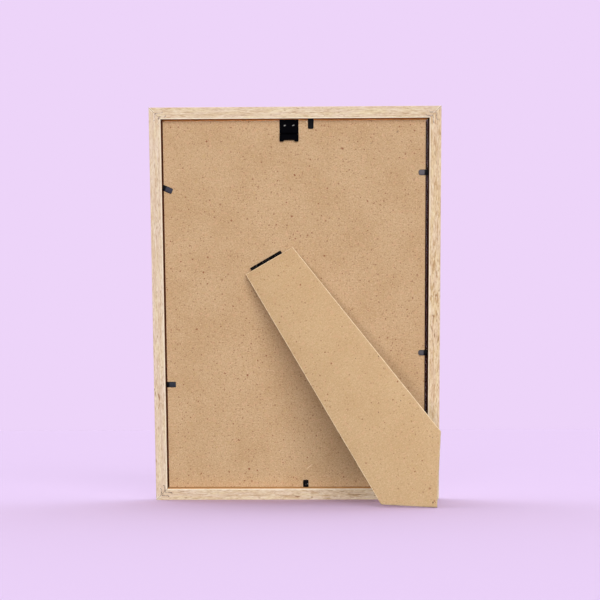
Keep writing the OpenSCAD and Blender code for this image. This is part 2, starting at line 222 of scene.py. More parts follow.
# ---------------------------------------------------------------- oak
def oak(name, along, seed, inner, outer, figure=0.5, wall=(60, 26, 8), deep=(34, 10, 3), strokes=(), cool=(0, 0)):
    """Pale oak. along is "X" or "H", the way the grain runs; inner and outer are where
    the rebate arris and the outer arris lie across the rail, in mm. figure is how bold
    the grain is, wall and deep the painted light and shade of the rebate wall and of its
    floor, and strokes are single dark pores or knots: (x, h, length, width, slope, strength).
    cool shifts the green and blue of every wood tone."""
    n = Nodes(name)
    v = n.frame_mm()
    x, w, h = n.split(v)
    across = h if along == "X" else x
    run = x if along == "X" else h
    pick = (lambda k: (k, 1, 1)) if along == "X" else (lambda k: (1, 1, k))
    off = (seed * 17.3, seed * 5.1, seed * 29.7)
    tan = lambda r, g, b: lin(r, g + cool[0], b + cool[1])

    # slow wander of the grain, then growth rings that follow it
    wander = n.noise(n.mapped(v, off, scale=pick(0.035)), 0.22, 2, 0.5, colour=True)
    vw = n.shift(v, wander, 7.0)
    xw, ww, hw = n.split(vw)
    aw = hw if along == "X" else xw
    ring = n.add(n.mul(aw, 0.78), n.mul(ww, 0.55))
    wobble = n.noise(n.mapped(v, off, scale=pick(0.02)), 0.5, 3, 0.55)
    ring = n.add(ring, n.mul(wobble, 5.0))
    saw = n.math("FRACT", n.math("DIVIDE", ring, 2.15))
    late = n.mul(n.span(saw, 0.45, 0.93), n.span(saw, 1.0, 0.93))
    late = n.mul(late, n.span(n.noise(n.mapped(v, off, scale=pick(0.05)), 0.3, 1), 0.35, 0.68, 0.15, 1.0))
    zone = n.span(n.noise(n.join(n.mul(run, 0.014), seed * 3.7, 0.0), 1.0, 2, 0.6), 0.42, 0.62, 0.35, 1.0)

    tone = n.noise(n.mapped(v, off, scale=pick(0.06)), 0.33, 3, 0.6)
    streak = n.noise(n.mapped(v, off, scale=pick(0.06)), 1.0, 3, 0.6)
    curl = n.noise(n.mapped(v, off, scale=pick(0.3)), 0.42, 2, 0.5, colour=True)
    flame = n.noise(n.mapped(n.shift(v, curl, 1.6), off, scale=pick(0.15)), 0.72, 2, 0.55)
    fibre = n.noise(n.mapped(v, off, scale=pick(0.035)), 5.5, 3, 0.65)
    hue = n.noise(n.mapped(v, (off[2], off[1], off[0]), scale=pick(0.1)), 0.4, 2, 0.6)

    col = n.mix(n.span(hue, 0.38, 0.64), tan(238, 213, 188), tan(238, 215, 174))
    col = n.mix(n.span(tone, 0.36, 0.7, 0, 0.7), col, tan(224, 193, 157))
    col = n.mix(n.span(streak, 0.5, 0.74, 0, 0.5 + 0.3 * figure), col, tan(204, 168, 127))
    col = n.mix(n.span(streak, 0.44, 0.24, 0, 0.75), col, tan(252, 235, 211))
    col = n.mix(n.mul(late, 0.38 + 0.22 * figure), col, tan(198, 160, 119))
    lick = n.mul(n.span(flame, 0.565, 0.66), n.mul(zone, 0.25 + 0.65 * figure))
    col = n.mix(lick, col, tan(184, 141, 99))
    col = n.mix(n.mul(n.span(flame, 0.43, 0.33), n.mul(zone, 0.2 + 0.5 * figure)), col, tan(254, 238, 214))
    tick = n.noise(n.mapped(v, (off[1], off[0], off[2]), scale=pick(0.2)), 1.25, 2, 0.7)
    col = n.mix(n.span(tick, 0.54, 0.68, 0, 0.22 + 0.6 * figure), col, tan(186, 144, 103))
    col = n.mix(n.span(tick, 0.45, 0.32, 0, 0.25 + 0.35 * figure), col, tan(255, 242, 222))

    # open pores: short dark dashes in the early wood, and paler ray flecks
    dash = n.noise(n.mapped(v, off, scale=pick(0.085)), 2.4, 1.5, 0.5)
    pores = n.mul(n.span(dash, 0.6, 0.69), n.span(saw, 0.75, 0.1, 0.35, 1.0))
    dots = n.noise(n.mapped(v, (off[1], off[2], off[0]), scale=pick(0.17)), 1.15, 2, 0.55)
    big = n.mul(n.span(dots, 0.655, 0.73), n.span(zone, 0.3, 1.0, 0.35, 1.0))
    col = n.mix(n.mul(pores, 0.7), col, lin(168, 124, 84))
    col = n.mix(n.mul(big, 0.85), col, lin(156, 110, 72))
    ray = n.noise(n.mapped(v, (off[2], off[0], off[1]), scale=pick(0.16)), 1.05, 1, 0.5)
    col = n.mix(n.span(ray, 0.64, 0.73, 0, 0.55), col, lin(250, 236, 216))
    col = n.mix(n.span(fibre, 0.3, 0.75, 0.0, 0.3), col, lin(190, 152, 114))
    ragged = n.noise(v, 1.1, 3, 0.7)
    mark = None
    for sx, sh, length, width, slope, power in strokes:
        one = n.mul(n.stroke(x, h, ragged, sx, sh, length, width, slope), power)
        mark = one if mark is None else n.math("MAXIMUM", mark, one)
    if mark is not None:
        mark = n.mul(mark, n.span(w, -1.4, -0.5))
        col = n.mix(mark, col, lin(148, 102, 66))

    # painted highlight along the arrises, a dark hairline at the mitres with a painted glint beside it, and painted
    # shade down the rebate wall
    own = n.abs(across) if along == "H" else across
    # painted highlight: the inner and outer arrises are drawn paler, broken up by noise
    arris_highlight_in = n.mul(n.span(n.abs(n.sub(own, inner)), 0.35, 1.0, 1, 0), n.span(w, -0.9, -0.2))
    arris_highlight_out = n.mul(n.span(n.abs(n.sub(own, outer)), 0.1, 0.8, 1, 0), n.span(w, -1.0, -0.2))
    highlight_breakup = n.noise(n.mapped(v, off, scale=pick(0.3)), 0.8, 2, 0.6)
    col = n.mix(n.mul(arris_highlight_in, n.span(highlight_breakup, 0.25, 0.6, 0.7, 1.0)), col, lin(255, 243, 222))
    col = n.mix(n.mul(arris_highlight_out, n.span(highlight_breakup, 0.35, 0.7, 0.1, 0.7)), col, lin(244, 220, 184))
    # painted shade down the rebate wall: the wall tone, paler near the back and darker deeper in, then the deep tone
    # further down; rougher there too
    inward = n.sub(inner, own) if along == "H" or outer > inner else n.sub(own, inner)
    rebate_shade = n.mul(n.span(inward, -0.12, -0.05), n.mul(n.span(w, -0.3, -0.9), n.span(w, -11.45, -11.35)))
    lit = n.mix(n.span(n.add(w, n.mul(ragged, 2.0)), 0.0, -5.6), lin(*[min(250, c * 1.22) for c in wall]),
                lin(*[c * 0.72 for c in wall]))
    col = n.mix(rebate_shade, col, n.mix(n.span(w, -7.0, -9.0), lit, lin(*deep)))
    side = n.sub(OUT_W / 2, n.abs(x))
    end = n.math("MINIMUM", h, n.sub(OUT_H, h))
    joint = n.abs(n.sub(side, end))
    joint = n.add(joint, n.span(ragged, 0.3, 0.7, -0.12, 0.12, smooth=False))
    near_back = n.span(w, -3.0, -0.5)
    col = n.mix(n.mul(n.span(joint, 0.42, 0.1), 0.55), col, lin(146, 106, 76))
    # painted glint: a pale line beside the mitre, near the back and close to the rail's ends
    mitre_glint = n.span(n.math("ABSOLUTE", n.sub(joint, 0.75)), 0.55, 0.1)
    col = n.mix(n.mul(mitre_glint, n.mul(near_back, n.span(end, 4.6, 2.6, 0.0, 0.7))), col, lin(255, 246, 232))

    height = n.add(n.mul(fibre, 0.4), n.mul(n.span(pores, 0, 1, 1, 0), 0.5))
    height = n.add(height, n.mul(n.span(big, 0, 1, 1, 0), 0.8))
    height = n.sub(height, n.mul(n.span(joint, 0.3, 0.05), 1.4))
    if mark is not None:
        height = n.sub(height, n.mul(mark, 0.9))
    fine = n.noise(v, 7.0, 2, 0.6)
    height = n.add(height, n.mul(fine, 0.25))
    n.set(Base_Color=col, Roughness=n.math("MAXIMUM", rebate_shade, n.span(n.add(fibre, n.mul(streak, 0.4)), 0.4, 1.1, 0.52, 0.74)),
          Normal=n.bump(height, 0.6, 0.0002))
    n.bsdf.inputs["Specular IOR Level"].default_value = 0.25
    return n.mat


# ---------------------------------------------------------------- fibreboard
def fibreboard(name, place, base, pale, deep, fleck, seed, fleck_share=1.0, marks=(), lights=(), bold=1.0):
    """Dry-pressed fibreboard: soft mottling, tangled pale fibres and dark bark flecks.
    marks are single dark flecks and lights single pale fibres or chips, each
    (x, y, length, width, slope, strength) in the plane of the board, in mm."""
    n = Nodes(name)
    local = place is not None
    v = n.local_mm(place) if local else n.frame_mm()
    a, b, c = n.split(v)
    flat = n.join(a, b) if local else n.join(a, c)
    flat = n.mapped(flat, (seed * 31.7, seed * 11.9, 0))

    cloud = n.noise(flat, 0.03, 3, 0.55)
    mottle = n.noise(flat, 0.42, 3, 0.62, 0.4)
    grit = n.noise(flat, 2.1, 2, 0.6)
    pepper = n.noise(n.mapped(flat, (51, 17, 0)), 0.95, 2, 0.7)
    col = n.mix(n.span(mottle, 0.3, 0.72), base, pale)
    col = n.mix(n.span(cloud, 0.35, 0.7, 0, 0.4 * bold), col, deep)
    col = n.mix(n.span(pepper, 0.47, 0.66, 0.0, 0.75 * bold), col, deep)
    col = n.mix(n.span(pepper, 0.45, 0.3, 0.0, 0.6 * bold), col, lin(232, 204, 170))
    col = n.mix(n.span(grit, 0.35, 0.7, 0.0, 0.34), col, deep)
    warm = n.noise(n.mapped(flat, (7, 3, 0)), 0.23, 2, 0.6)
    col = n.mix(n.span(warm, 0.52, 0.72, 0, 0.30), col, lin(218, 170, 138))
    gold = n.noise(n.mapped(flat, (27, 43, 0)), 0.3, 2, 0.6)
    col = n.mix(n.span(gold, 0.55, 0.72, 0, 0.30), col, lin(200, 166, 112))

    # tangled fibres: thin pale and thin darker curls
    bend = n.noise(flat, 0.5, 2, 0.5, colour=True)
    curled = n.shift(flat, bend, 2.6)
    f1 = n.noise(n.mapped(curled, (3, 9, 0), (0, 0, 0.5), (0.32, 1.15, 1)), 1.0, 1, 0.5)
    f2 = n.noise(n.mapped(curled, (13, 2, 0), (0, 0, -0.9), (0.32, 1.15, 1)), 1.0, 1, 0.5)
    f3 = n.noise(n.mapped(curled, (5, 21, 0), (0, 0, 1.9), (0.3, 1.0, 1)), 1.0, 1, 0.5)
    hair1 = n.mul(n.span(n.abs(n.sub(f1, 0.5)), 0.004, 0.028, 1, 0), n.span(f2, 0.5, 0.6))
    hair2 = n.mul(n.span(n.abs(n.sub(f2, 0.52)), 0.004, 0.026, 1, 0), n.span(f3, 0.52, 0.62))
    hair3 = n.mul(n.span(n.abs(n.sub(f3, 0.49)), 0.003, 0.024, 1, 0), n.span(f1, 0.55, 0.64))
    col = n.mix(n.mul(hair1, 0.55), col, lin(228, 199, 166))
    col = n.mix(n.mul(hair2, 0.50), col, lin(224, 192, 158))
    col = n.mix(n.mul(hair3, 0.42), col, lin(160, 120, 84))

    # bark flecks, in three sizes
    depth = None
    warped = n.shift(flat, n.noise(flat, 1.4, 2, 0.6, colour=True), 0.55)
    for k, (cell, r_lo, r_hi, keep, power) in enumerate((
            (2.5, 0.16, 0.42, 0.60, 0.66), (4.6, 0.25, 0.62, 0.50, 0.85), (15.0, 0.4, 0.85, 0.40, 0.9))):
        d, rnd = n.cells(n.mapped(warped, (k * 41.0 + seed, k * 13.0, 0), (0, 0, 0.7 * k)), 1 / cell)
        d = n.mul(d, cell)
        r, g, bb = n.split(rnd)
        size = n.span(r, 0, 1, r_lo, r_hi, smooth=False)
        spot = n.span(n.sub(d, size), 0.12, -0.1)
        spot = n.mul(spot, n.span(g, 1 - keep * fleck_share, 1 - keep * fleck_share + 0.02))
        spot = n.mul(spot, n.span(bb, 0, 1, 0.25 * power, power, smooth=False))
        col = n.mix(spot, col, fleck)
        depth = spot if depth is None else n.math("MAXIMUM", depth, spot)

    px, py, _ = n.split(n.join(a, b) if local else n.join(a, c))
    for tone, places in ((lin(96, 66, 48), marks), (lin(238, 212, 178), lights)):
        for mx, my, length, width, slope, power in places:
            spot = n.mul(n.stroke(px, py, grit, mx, my, length, width, slope), power)
            col = n.mix(spot, col, tone)
            depth = n.math("MAXIMUM", depth, spot) if places is marks else depth
    if not local:
        # painted shade on the sawn edges down in the rebate gap
        edge = n.span(b, -6.02, -6.3)
        col = n.mix(edge, col, n.mix(grit, lin(66, 28, 8), lin(44, 14, 3)))

    height = n.add(n.mul(mottle, 0.5), n.mul(n.add(grit, pepper), 0.4))
    height = n.add(height, n.add(n.mul(hair1, 0.3), n.mul(hair2, 0.3)))
    height = n.sub(height, n.mul(depth, 0.6))
    rough = n.span(mottle, 0.25, 0.75, 0.62, 0.82)
    n.set(Base_Color=col, Roughness=rough if local else n.math("MAXIMUM", edge, rough),
          Normal=n.bump(height, 0.45, 0.00016))
    n.bsdf.inputs["Specular IOR Level"].default_value = 0.28
    return n.mat


def cut_edge(name, place, pale=1.0, foot=None):
    """The sawn edge of the fibreboard: paler, layered and furry. foot is the colour it
    is rubbed to below the widest point of the leg."""
    n = Nodes(name)
    v = n.local_mm(place)
    layers = n.noise(n.mapped(v, scale=(0.5, 0.5, 3.2)), 1.0, 3, 0.6)
    fuzz = n.noise(v, 3.4, 3, 0.7)
    col = n.mix(n.span(layers, 0.3, 0.7), lin(244 * pale, 220 * pale, 186 * pale), lin(228 * pale, 200 * pale, 162 * pale))
    col = n.mix(n.span(fuzz, 0.55, 0.8, 0, 0.4), col, lin(196, 160, 120))
    col = n.mix(n.span(fuzz, 0.45, 0.2, 0, 0.6), col, lin(255, 240, 214))
    if foot is not None:
        x, y, _ = n.split(v)
        low = n.span(n.add(y, n.mul(x, 0.632)), -220.0, -225.0)
        side = n.mul(n.span(x, 18.0, 24.0), n.span(n.add(y, n.mul(fuzz, 3.0)), -186.0, -194.0))
        wear_and_sheen = n.mul(n.math("MAXIMUM", low, side), 0.9)
        col = n.mix(wear_and_sheen, col, n.mix(n.span(fuzz, 0.4, 0.62), lin(*foot), lin(*[c * 0.8 for c in foot])))
    n.set(Base_Color=col, Roughness=n.span(fuzz, 0.3, 0.7, 0.75, 0.95),
          Normal=n.bump(n.add(layers, fuzz), 0.8, 0.0002))
    n.bsdf.inputs["Specular IOR Level"].default_value = 0.2
    return n.mat


# ---------------------------------------------------------------- metal
def black_metal(name, seed=0.0, base=(7, 7, 9), high=(20, 20, 23), rough=(0.4, 0.6), shine=0.12, worn=0.1,
                face=None, spots=()):
    """Black-finished spring steel: satin, with rolled streaks, dust and small scuffs.
    face is (u, h, turn, from, to, colour): where a painted grey sheen lies on a tab, measured
    along the strip from its wall point. spots are painted glints of bright metal."""
    n = Nodes(name)
    p = n.frame_mm()
    v = n.mapped(p, (seed * 9.7, seed * 3.1, seed * 5.3))
    broad = n.noise(v, 0.35, 3, 0.6)
    rolled = n.noise(n.mapped(v, scale=(0.25, 1, 2.4)), 2.2, 3, 0.6)
    speck = n.noise(v, 5.5, 2, 0.6)
    grain = n.noise(v, 1.6, 3, 0.65)
    col = n.mix(n.span(broad, 0.3, 0.7), lin(*base), lin(*high))
    col = n.mix(n.span(rolled, 0.5, 0.8, 0, 0.4), col, lin(*[c * 1.5 + 6 for c in high]))
    x, w, h = n.split(p)
    # painted sheen: the tab's upper side turns grey from start to full along the strip
    if face is not None:
        u0, h0, turned, start, full, grey = face
        a = math.radians(turned)
        along = n.add(n.mul(n.sub(n.mul(x, -1.0), u0), math.cos(a)), n.mul(n.sub(h, h0), math.sin(a)))
        wear_and_sheen = n.mul(n.span(n.add(along, n.mul(n.sub(grain, 0.5), 1.2)), start, full),
                    n.span(w, TAB_MID + 0.05, TAB_MID + 0.2))
        across = n.abs(n.add(n.mul(n.sub(n.mul(x, -1.0), u0), -math.sin(a)), n.mul(n.sub(h, h0), math.cos(a))))
        wear_and_sheen = n.mul(wear_and_sheen, n.span(across, TAB_W / 2, TAB_W / 2 - 0.7, 0.25, 1.0))
        col = n.mix(n.mul(wear_and_sheen, n.span(grain, 0.2, 0.7, 0.7, 1.0)), col, lin(*grey))
    # painted glints: the spots are drawn in pale bright metal
    bright = None
    for sx, sh, length, width, slope, power in spots:
        one = n.mul(n.stroke(x, h, grain, sx, sh, length, width, slope), power)
        bright = one if bright is None else n.math("MAXIMUM", bright, one)
    col = n.mix(n.span(speck, 0.7, 0.78, 0, worn * 2), col, lin(112, 110, 110))
    dust = n.span(n.noise(v, 1.3, 3, 0.65), 0.6, 0.88, 0, worn)
    col = n.mix(dust, col, lin(84, 76, 68))
    if bright is not None:
        col = n.mix(bright, col, lin(168, 168, 166))
    n.set(Base_Color=col, Metallic=n.span(speck, 0.68, 0.78, 0.0, 0.8),
          Roughness=n.span(n.add(n.mul(broad, 0.6), n.mul(rolled, 0.4)), 0.3, 0.7, rough[0], rough[1]),
          Normal=n.bump(n.add(n.mul(rolled, 0.5), speck), 0.35, 0.00006))
    n.bsdf.inputs["Specular IOR Level"].default_value = shine
    return n.mat


def bare_steel(name, base=(150, 140, 132), seed=0.0, hazy=0.0):
    """Cut steel with a little tarnish. hazy is how much wood dust clings to it."""
    n = Nodes(name)
    v = n.mapped(n.frame_mm(), (seed * 3.7, seed, seed * 2.1))
    drawn = n.noise(n.mapped(v, scale=(0.4, 3.0, 0.4)), 3.0, 2, 0.6)
    tarnish = n.noise(v, 0.9, 3, 0.65)
    col = n.mix(n.span(tarnish, 0.35, 0.7), lin(*base), lin(base[0] * 0.66, base[1] * 0.6, base[2] * 0.56))
    col = n.mix(n.span(drawn, 0.55, 0.8, 0, 0.5), col, lin(214, 208, 202))
    caught = n.span(n.noise(v, 0.42, 3, 0.6), 0.42, 0.6, 0, hazy)
    col = n.mix(caught, col, lin(214, 192, 168))
    n.set(Base_Color=col, Metallic=n.mul(n.span(tarnish, 0.3, 0.8, 0.95, 0.6), n.sub(1.0, caught)),
          Roughness=n.span(n.add(drawn, tarnish), 0.7, 1.3, 0.25, 0.5),
          Normal=n.bump(drawn, 0.4, 0.00005))
    return n.mat


# ---------------------------------------------------------------- glass and print
def clear_glass(name):
    """Low-glare glass: clear against the print, with a soft, faintly smeared gloss. Lamps pass through it."""
    n = Nodes(name)
    v = n.frame_mm()
    smear = n.noise(n.mapped(v, rot=(0, 0.5, 0), scale=(1, 1, 0.35)), 0.03, 4, 0.6, 0.8)
    n.set(Roughness=n.span(smear, 0.45, 0.75, 0.03, 0.08), Base_Color=(0.985, 0.995, 0.99, 1))
    n.bsdf.inputs["Transmission Weight"].default_value = 1.0
    n.bsdf.inputs["IOR"].default_value = 1.34
    path = n.new("ShaderNodeLightPath")
    clear = n.new("ShaderNodeBsdfTransparent")
    clear.inputs[0].default_value = (0.93, 0.945, 0.94, 1)
    mix = n.new("ShaderNodeMixShader")
    n.put(mix.inputs[0], path.outputs["Is Shadow Ray"])
    n.put(mix.inputs[1], n.bsdf.outputs[0])
    n.put(mix.inputs[2], clear.outputs[0])
    n.put(n.out.inputs["Surface"], mix.outputs[0])
    return n.mat


def print_paper(name):
    """A generic print: plain border, a quiet sky and four soft rolling bands."""
    n = Nodes(name)
    v = n.frame_mm()
    x, w, h = n.split(v)
    paper = n.noise(v, 0.9, 4, 0.65)
    washy = n.noise(v, 0.05, 4, 0.6, 0.5)
    sheet = n.mix(n.span(paper, 0.3, 0.7), lin(244, 240, 232), lin(238, 233, 224))
    sky = n.ramp(n.span(h, 110, 285, 0, 1, smooth=False),
                 [(0.0, lin(238, 214, 188)), (0.5, lin(236, 224, 206)), (1.0, lin(214, 220, 216))])
    sky = n.mix(n.span(washy, 0.35, 0.7, 0, 0.25), sky, lin(246, 236, 222))
    art = sky
    bands = ((168, 13, 0.021, 0.4, (205, 193, 176)), (143, 10, 0.028, 2.2, (178, 176, 160)),
             (112, 12, 0.019, 4.1, (146, 154, 142)), (78, 9, 0.026, 5.6, (112, 124, 117)))
    rough_line = n.noise(v, 0.12, 4, 0.6)
    for top, rise, k, ph, rgb in bands:
        line = n.mul(n.math("SINE", n.add(n.mul(x, k), ph)), rise)
        line = n.add(line, n.mul(n.math("SINE", n.add(n.mul(x, k * 2.7), ph * 1.7)), rise * 0.3))
        line = n.add(n.add(line, top), n.mul(n.sub(rough_line, 0.5), 5.0))
        below = n.span(n.sub(h, line), 0.35, -0.35)
        tone = n.mix(n.span(washy, 0.3, 0.7), lin(*rgb), lin(*[min(255, c * 1.1) for c in rgb]))
        tone = n.mix(n.span(n.sub(line, h), 0, 40, 0, 0.45), tone, lin(*[min(255, c * 1.13) for c in rgb]))
        art = n.mix(below, art, tone)
    disc = n.math("SQRT", n.add(n.math("POWER", n.sub(x, 26.0), 2.0), n.math("POWER", n.sub(h, 222.0), 2.0)))
    art = n.mix(n.mul(n.span(disc, 19.6, 18.9), 0.9), art, lin(232, 190, 158))
    inside = n.mul(n.span(n.abs(x), 82.2, 81.8), n.span(n.abs(n.sub(h, 158.5)), 125.2, 124.8))
    col = n.mix(inside, sheet, art)
    col = n.mix(n.span(paper, 0.55, 0.8, 0, 0.08), col, lin(150, 140, 130))
    # painted shade: the back of the sheet, seen only down the rebate gap, is drawn near-black brown
    back = n.span(w, -9.12, -9.04)
    col = n.mix(back, col, n.mix(paper, lin(30, 8, 2), lin(46, 18, 6)))
    n.set(Base_Color=col, Roughness=n.math("MAXIMUM", back, n.span(paper, 0.3, 0.7, 0.55, 0.7)),
          Normal=n.bump(paper, 0.2, 0.00008))
    n.bsdf.inputs["Specular IOR Level"].default_value = 0.18
    return n.mat


TAB_W, TAB_T, TAB_MID, SHANK = 4.5, 0.5, -5.55, 6.0
HINGE = Matrix.Translation((-21.8 / 1000, 197.25 / 1000, -4.5 / 1000)) @ Matrix.Rotation(math.radians(30), 4, "Z")
STRUT_AT = STANCE @ HINGE @ Matrix.Rotation(math.radians(-27.5), 4, "X")

LEFT_STROKES = ((115.3, 92.1, 2.2, 1.1, 0, 0.95), (114.5, 87.9, 5.5, 1.0, 6, 0.6), (111.9, 86.2, 7.5, 1.5, 8, 0.8),
                (110.4, 80.6, 2.0, 0.9, 0, 0.7), (111.4, 79.0, 3.2, 1.0, 0, 0.45), (109.0, 110.5, 3.0, 0.9, 0, 0.35),
                (112.6, 226.0, 3.4, 1.1, 8, 0.3), (111.2, 216.0, 4.5, 0.9, 0, 0.35), (112.0, 273.0, 4.0, 1.1, 0, 0.4))
RIGHT_STROKES = ((-114.9, 171.9, 2.4, 1.1, -14, 0.7), (-112.3, 167.9, 2.8, 1.1, -16, 0.6), (-109.2, 167.4, 2.4, 0.9, 14, 0.5),
                 (-110.2, 151.3, 3.4, 1.1, 22, 0.9), (-113.3, 152.5, 3.0, 1.0, -12, 0.6), (-113.1, 147.6, 2.6, 0.9, -8, 0.6),
                 (-109.3, 140.6, 7.0, 1.2, 16, 0.6), (-111.4, 135.5, 4.2, 1.2, 6, 0.8), (-114.3, 132.8, 6.5, 1.2, -4, 0.75),
                 (-110.4, 128.1, 4.0, 0.9, 6, 0.5), (-112.6, 161.5, 3.0, 0.8, -8, 0.35), (-111.0, 281.0, 6.0, 1.1, 10, 0.45),
                 (-112.0, 274.0, 5.0, 1.0, 14, 0.45), (-113.6, 214.0, 5.5, 1.0, 4, 0.35), (-110.6, 200.0, 6.0, 1.0, -6, 0.35),
                 (-112.2, 186.0, 5.0, 1.2, 8, 0.45), (-114.5, 317.1, 1.3, 1.0, 0, 0.8))
BOTTOM_STROKES = ((31.8, 3.6, 22.0, 0.9, 90, 0.4), (8.0, 3.4, 19.0, 1.0, 90, 0.55), (-0.2, 2.7, 5.0, 1.0, 90, 0.85),
                  (-12.0, 2.2, 2.4, 1.1, 84, 0.9), (-48.5, 4.1, 20.0, 0.8, 89, 0.8), (-37.0, 7.0, 5.0, 1.0, 90, 0.5),
                  (-64.0, 3.4, 4.0, 1.0, 90, 0.6), (94.1, 7.1, 4.5, 0.9, 90, 0.55), (88.8, 5.9, 4.0, 0.8, 90, 0.5),
                  (91.4, 2.1, 3.0, 1.0, 90, 0.6), (56.4, 3.3, 10.0, 0.9, 91, 0.45), (73.0, 6.2, 6.0, 0.8, 90, 0.3),
                  (-30.0, 3.0, 8.0, 0.8, 90, 0.35), (20.0, 6.6, 9.0, 0.8, 91, 0.3))
TOP_STROKES = ((86.0, 314.6, 6.0, 0.9, 90, 0.4), (40.0, 312.0, 8.0, 0.8, 90, 0.3), (1.0, 314.3, 5.5, 1.0, 92, 0.45),
               (-14.0, 313.9, 4.5, 0.9, 90, 0.4), (-60.0, 315.0, 9.0, 0.8, 90, 0.35), (-88.0, 312.6, 6.0, 0.8, 90, 0.35),
               (62.0, 316.0, 4.0, 0.8, 90, 0.3))
BOARD_MARKS = ((-81.5, 298.6, 2.6, 1.3, -42, 0.55), (76.0, 221.0, 1.1, 1.0, 0, 0.5), (-60.5, 289.5, 2.2, 0.8, -40, 0.45),
               (-99.0, 197.0, 1.3, 1.0, 0, 0.5), (27.0, 40.0, 1.4, 1.1, 0, 0.4))
BOARD_LIGHTS = ((-10.1, 26.3, 8.6, 0.8, -52, 0.75), (-9.2, 306.6, 2.6, 1.1, 32, 0.9), (-7.9, 9.9, 1.6, 1.2, 20, 0.8),
                (-58.0, 304.5, 4.0, 0.7, 12, 0.5), (40.0, 250.0, 3.0, 0.6, -50, 0.4), (-71.0, 262.0, 3.0, 0.7, -20, 0.4))

# on each rail the two colours after the figure are the painted light and shade of its rebate: the wall tone, then the
# deep tone
MATS = {
    "rail_top": oak("oak_top", "X", 1.0, OUT_H - BACK_W, OUT_H, 0.3, (205, 148, 96), (225, 145, 82), TOP_STROKES, (5, 11)),
    "rail_bottom": oak("oak_bottom", "X", 2.0, BACK_W, 0.0, 0.6, (214, 160, 108), (176, 124, 80), BOTTOM_STROKES, (3, 10)),
    "rail_left": oak("oak_left", "H", 3.0, OUT_W / 2 - BACK_W, OUT_W / 2, 0.3, (136, 88, 58), (140, 66, 34), LEFT_STROKES, (4, 14)),
    "rail_right": oak("oak_right", "H", 4.0, OUT_W / 2 - BACK_W, OUT_W / 2, 0.95, (150, 108, 74), (44, 12, 3), RIGHT_STROKES),
    "corner_nails": bare_steel("nail_steel", (112, 98, 90), 0.0, 0.8),
    "glazing": clear_glass("float_glass"),
    "print_sheet": print_paper("print_sheet_paper"),
    "backing_board": fibreboard("board_fibre", None, lin(204, 170, 134), lin(214, 182, 146),
                                lin(182, 143, 101), lin(138, 74, 40), 1.0, 1.0, BOARD_MARKS, BOARD_LIGHTS),
    "hanger_plate": black_metal("hanger_black", 1.0, (0, 0, 2), (2, 2, 5), (0.5, 0.65), 0.015, 0.015),
    # the rivets carry two painted glints
    "hanger_rivets": black_metal("rivet_black", 2.0, (1, 1, 3), (6, 6, 9), (0.3, 0.45), 0.1, 0.04,
                                 spots=((8.3, 303.8, 2.0, 1.0, -62, 0.8), (1.5, 303.9, 2.2, 0.9, -72, 0.8))),
    "tab_shanks": black_metal("shank_black", 3.0, (2, 2, 4), (7, 7, 9)),
    "hinge_leaf_board": black_metal("hinge_black", 4.0, (0, 0, 2), (5, 5, 8), (0.3, 0.45), 0.07, 0.04),
    "hinge_rivets_board": black_metal("hinge_rivet_black", 5.0, (12, 12, 14), (30, 30, 33), (0.3, 0.45), 0.3),
    "hinge_pin": bare_steel("pin_steel_mat", (96, 94, 98), 2.0),
    "hinge_leaf_strut": black_metal("hinge_strut_black", 6.0, (0, 0, 2), (5, 5, 8), (0.3, 0.45), 0.07, 0.04),
    "hinge_rivets_strut": black_metal("hinge_strut_rivet_black", 7.0, (12, 12, 14), (30, 30, 33), (0.3, 0.45), 0.3),
}

for name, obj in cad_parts.items():
    if name in MATS:
        for s in obj.material_slots:
            s.material = MATS[name]
        if not obj.material_slots:
            obj.data.materials.append(MATS[name])


# ---------------------------------------------------------------- mesh helper
def finish_mesh(name, bm, mats, smooth_angle=None):
    bmesh.ops.recalc_face_normals(bm, faces=bm.faces)
    me = bpy.data.meshes.new(name)
    bm.to_mesh(me)
    bm.free()
    for m in mats:
        me.materials.append(m)
    o = bpy.data.objects.new(name, me)
    bpy.context.scene.collection.objects.link(o)
    if smooth_angle is not None:
        for p in me.polygons:
            p.use_smooth = True
        me.set_sharp_from_angle(angle=math.radians(smooth_angle))
    return o


def hash01(*k):
    """A repeatable number in 0..1 from a few numbers."""
    s = math.sin(sum(a * b for a, b in zip(k, (12.9898, 78.233, 37.719, 4.581)))) * 43758.5453
    return s - math.floor(s)


def wander1(t, seed):
    """Smooth 1-D noise, -1..1."""
    i, f = math.floor(t), t - math.floor(t)
    f = f * f * (3 - 2 * f)
    return (hash01(i, seed) * (1 - f) + hash01(i + 1, seed) * f) * 2 - 1


def fillet(pts, radii, k=5):
    """A closed outline with rounded corners."""
    out = []
    m = len(pts)
    for i in range(m):
        p0, p1, p2 = (np.array(pts[(i + j - 1) % m], float) for j in range(3))
        r = radii[i]
        if r <= 0:
            out.append(p1)
            continue
        a, b = p0 - p1, p2 - p1
        a, b = a / np.linalg.norm(a), b / np.linalg.norm(b)
        half = math.acos(max(-1, min(1, float(a @ b)))) / 2
        d = a + b
        c = p1 + d / np.linalg.norm(d) * r / math.sin(half)
        s, e = p1 + a * r / math.tan(half), p1 + b * r / math.tan(half)
        a0 = math.atan2(*(s - c)[::-1])
        a1 = math.atan2(*(e - c)[::-1])
        turn = (a1 - a0 + 3 * math.pi) % (2 * math.pi) - math.pi
        out += [c + r * np.array((math.cos(a0 + turn * q / k), math.sin(a0 + turn * q / k))) for q in range(k + 1)]
    return out


# ---------------------------------------------------------------- strut
strut_pts = fillet([(-22, -2.75), (-12.8, -218.55), (22.5, -240.85), (52.4, -192.65), (22, -2.75)],
                   [0.4, 1.2, 0.5, 1.6, 0.4])


def dense(pts, step):
    out = []
    for i, p in enumerate(pts):
        q = pts[(i + 1) % len(pts)]
        k = max(1, int(np.linalg.norm(q - p) / step))
        out += [p + (q - p) * j / k for j in range(k)]
    return out


